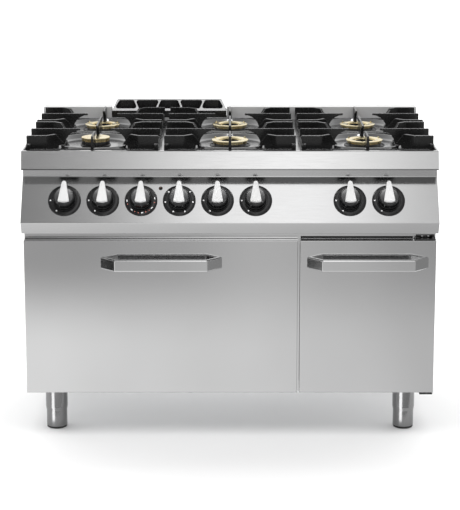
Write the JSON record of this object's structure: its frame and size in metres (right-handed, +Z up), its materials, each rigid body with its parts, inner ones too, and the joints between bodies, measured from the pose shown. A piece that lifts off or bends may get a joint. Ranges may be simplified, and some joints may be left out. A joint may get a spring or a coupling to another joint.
{
  "type": "commercial gas range",
  "caption": "Free-standing stainless restaurant range: open gas burners under cast grids, sloped knob panel, drop-down oven door beside a hinged cupboard, on adjustable legs.",
  "frame": {"origin": "middle of the outline, at floor level", "axes": "+X to the right seen from the front, +Y to the back, +Z up"},
  "size_m": [1.2, 0.7337, 0.923],
  "materials": {
    "stainless_brushed": "satin",
    "stainless_polished": "polished",
    "galvanised": "dull",
    "enamel_dark": "glossy enamel",
    "insulation": "mineral wool",
    "gasket": "woven seal",
    "cast_black": "matt enamel",
    "brass": "machined",
    "copper": "drawn tube",
    "knob_black": "satin",
    "pointer_white": "satin",
    "leg_steel": "satin",
    "mark_red": "print"
  },
  "bodies": {
    "cabinet": {"side_panel_left": "stainless_brushed", "side_panel_right": "stainless_brushed", "front_frame": "stainless_brushed", "control_panel": "stainless_brushed", "worktop": "stainless_polished", "base_frame": "galvanised", "back_panel": "galvanised", "partition": "galvanised", "cupboard_panels": "galvanised", "flue_duct": "galvanised", "hinge_brackets": "galvanised", "screws": "galvanised", "oven_rack_guides": "galvanised", "oven_burner": "galvanised", "oven_cavity": "enamel_dark", "oven_floor_plate": "enamel_dark", "oven_insulation": "insulation", "oven_door_gasket": "gasket", "burner_bases": "cast_black", "flame_rings": "brass", "gas_taps": "brass", "gas_manifold": "brass", "gas_pipes": "copper", "pilot_burners": "copper", "knob_bezels": "knob_black", "foot_sleeves": "leg_steel"},
    "knob_1": {"knob_1": "knob_black"},
    "knob_2": {"knob_2": "knob_black"},
    "knob_3": {"knob_3": "knob_black"},
    "knob_4": {"knob_4": "knob_black"},
    "knob_5": {"knob_5": "knob_black"},
    "knob_6": {"knob_6": "knob_black"},
    "knob_7": {"knob_7": "knob_black"},
    "knob_8": {"knob_8": "knob_black"},
    "pan_support_1": {"pan_support_1": "cast_black"},
    "pan_support_2": {"pan_support_2": "cast_black"},
    "pan_support_3": {"pan_support_3": "cast_black"},
    "pan_support_4": {"pan_support_4": "cast_black"},
    "pan_support_5": {"pan_support_5": "cast_black"},
    "pan_support_6": {"pan_support_6": "cast_black"},
    "burner_cap_1": {"burner_cap_1": "brass"},
    "burner_cap_2": {"burner_cap_2": "brass"},
    "burner_cap_3": {"burner_cap_3": "brass"},
    "burner_cap_4": {"burner_cap_4": "brass"},
    "burner_cap_5": {"burner_cap_5": "brass"},
    "burner_cap_6": {"burner_cap_6": "brass"},
    "foot_front_left": {"foot_front_left": "leg_steel"},
    "foot_front_right": {"foot_front_right": "leg_steel"},
    "foot_rear_left": {"foot_rear_left": "leg_steel"},
    "foot_rear_right": {"foot_rear_right": "leg_steel"},
    "oven_door": {"oven_door_skin": "stainless_brushed", "oven_door_liner": "galvanised", "oven_door_handle": "stainless_polished", "oven_door_hinges": "galvanised"},
    "cupboard_door": {"cupboard_door_skin": "stainless_brushed", "cupboard_door_liner": "galvanised", "cupboard_door_handle": "stainless_polished"},
    "flue_grate": {"flue_grate": "cast_black"},
    "igniter_button": {"igniter_button": "knob_black"},
    "oven_rack": {"oven_rack": "galvanised"}
  },
  "joints": [
    {"name": "knob_1_turn", "type": "hinge", "parent": "cabinet", "child": "knob_1", "pos_m": [-0.476, -0.32209, 0.728], "axis": [0, -0.8114, 0.5845], "range_deg": [0, 150]},
    {"name": "knob_2_turn", "type": "hinge", "parent": "cabinet", "child": "knob_2", "pos_m": [-0.366, -0.32209, 0.728], "axis": [0, -0.8114, 0.5845], "range_deg": [0, 150]},
    {"name": "knob_3_turn", "type": "hinge", "parent": "cabinet", "child": "knob_3", "pos_m": [-0.256, -0.32209, 0.728], "axis": [0, -0.8114, 0.5845], "range_deg": [0, 280]},
    {"name": "knob_4_turn", "type": "hinge", "parent": "cabinet", "child": "knob_4", "pos_m": [-0.146, -0.32209, 0.728], "axis": [0, -0.8114, 0.5845], "range_deg": [0, 310]},
    {"name": "knob_5_turn", "type": "hinge", "parent": "cabinet", "child": "knob_5", "pos_m": [-0.036, -0.32209, 0.728], "axis": [0, -0.8114, 0.5845], "range_deg": [0, 150]},
    {"name": "knob_6_turn", "type": "hinge", "parent": "cabinet", "child": "knob_6", "pos_m": [0.074, -0.32209, 0.728], "axis": [0, -0.8114, 0.5845], "range_deg": [0, 150]},
    {"name": "knob_7_turn", "type": "hinge", "parent": "cabinet", "child": "knob_7", "pos_m": [0.345, -0.32209, 0.728], "axis": [0, -0.8114, 0.5845], "range_deg": [0, 150]},
    {"name": "knob_8_turn", "type": "hinge", "parent": "cabinet", "child": "knob_8", "pos_m": [0.456, -0.32209, 0.728], "axis": [0, -0.8114, 0.5845], "range_deg": [0, 150]},
    {"name": "pan_support_1_lift", "type": "slide", "parent": "cabinet", "child": "pan_support_1", "axis": [0, 0, 1], "range_m": [0, 0.06]},
    {"name": "pan_support_2_lift", "type": "slide", "parent": "cabinet", "child": "pan_support_2", "axis": [0, 0, 1], "range_m": [0, 0.06]},
    {"name": "pan_support_3_lift", "type": "slide", "parent": "cabinet", "child": "pan_support_3", "axis": [0, 0, 1], "range_m": [0, 0.06]},
    {"name": "pan_support_4_lift", "type": "slide", "parent": "cabinet", "child": "pan_support_4", "axis": [0, 0, 1], "range_m": [0, 0.06]},
    {"name": "pan_support_5_lift", "type": "slide", "parent": "cabinet", "child": "pan_support_5", "axis": [0, 0, 1], "range_m": [0, 0.06]},
    {"name": "pan_support_6_lift", "type": "slide", "parent": "cabinet", "child": "pan_support_6", "axis": [0, 0, 1], "range_m": [0, 0.06]},
    {"name": "burner_cap_1_lift", "type": "slide", "parent": "cabinet", "child": "burner_cap_1", "axis": [0, 0, 1], "range_m": [0, 0.01]},
    {"name": "burner_cap_2_lift", "type": "slide", "parent": "cabinet", "child": "burner_cap_2", "axis": [0, 0, 1], "range_m": [0, 0.01]},
    {"name": "burner_cap_3_lift", "type": "slide", "parent": "cabinet", "child": "burner_cap_3", "axis": [0, 0, 1], "range_m": [0, 0.01]},
    {"name": "burner_cap_4_lift", "type": "slide", "parent": "cabinet", "child": "burner_cap_4", "axis": [0, 0, 1], "range_m": [0, 0.01]},
    {"name": "burner_cap_5_lift", "type": "slide", "parent": "cabinet", "child": "burner_cap_5", "axis": [0, 0, 1], "range_m": [0, 0.01]},
    {"name": "burner_cap_6_lift", "type": "slide", "parent": "cabinet", "child": "burner_cap_6", "axis": [0, 0, 1], "range_m": [0, 0.01]},
    {"name": "flue_grate_lift", "type": "slide", "parent": "cabinet", "child": "flue_grate", "axis": [0, 0, 1], "range_m": [0, 0.06]},
    {"name": "igniter_press", "type": "slide", "parent": "cabinet", "child": "igniter_button", "axis": [0, 0.8114, -0.5845], "range_m": [0, 0.003], "stiffness_N_per_m": 600, "springref_m": -0.003},
    {"name": "oven_door_hinge", "type": "hinge", "parent": "cabinet", "child": "oven_door", "pos_m": [-0.2, -0.29215, 0.153], "axis": [1, 0, 0], "range_deg": [0, 90], "stiffness_Nm_per_rad": 6, "springref_deg": -14.32},
    {"name": "cupboard_door_hinge", "type": "hinge", "parent": "cabinet", "child": "cupboard_door", "pos_m": [0.592, -0.29215, 0.37], "axis": [0, 0, 1], "range_deg": [0, 110]},
    {"name": "oven_rack_slide", "type": "slide", "parent": "cabinet", "child": "oven_rack", "axis": [0, -1, 0], "range_m": [0, 0.04]},
    {"name": "foot_front_left_adjust", "type": "slide", "parent": "cabinet", "child": "foot_front_left", "axis": [0, 0, 1], "range_m": [0, 0.045]},
    {"name": "foot_front_right_adjust", "type": "slide", "parent": "cabinet", "child": "foot_front_right", "axis": [0, 0, 1], "range_m": [0, 0.045]},
    {"name": "foot_rear_left_adjust", "type": "slide", "parent": "cabinet", "child": "foot_rear_left", "axis": [0, 0, 1], "range_m": [0, 0.045]},
    {"name": "foot_rear_right_adjust", "type": "slide", "parent": "cabinet", "child": "foot_rear_right", "axis": [0, 0, 1], "range_m": [0, 0.045]}
  ]
}
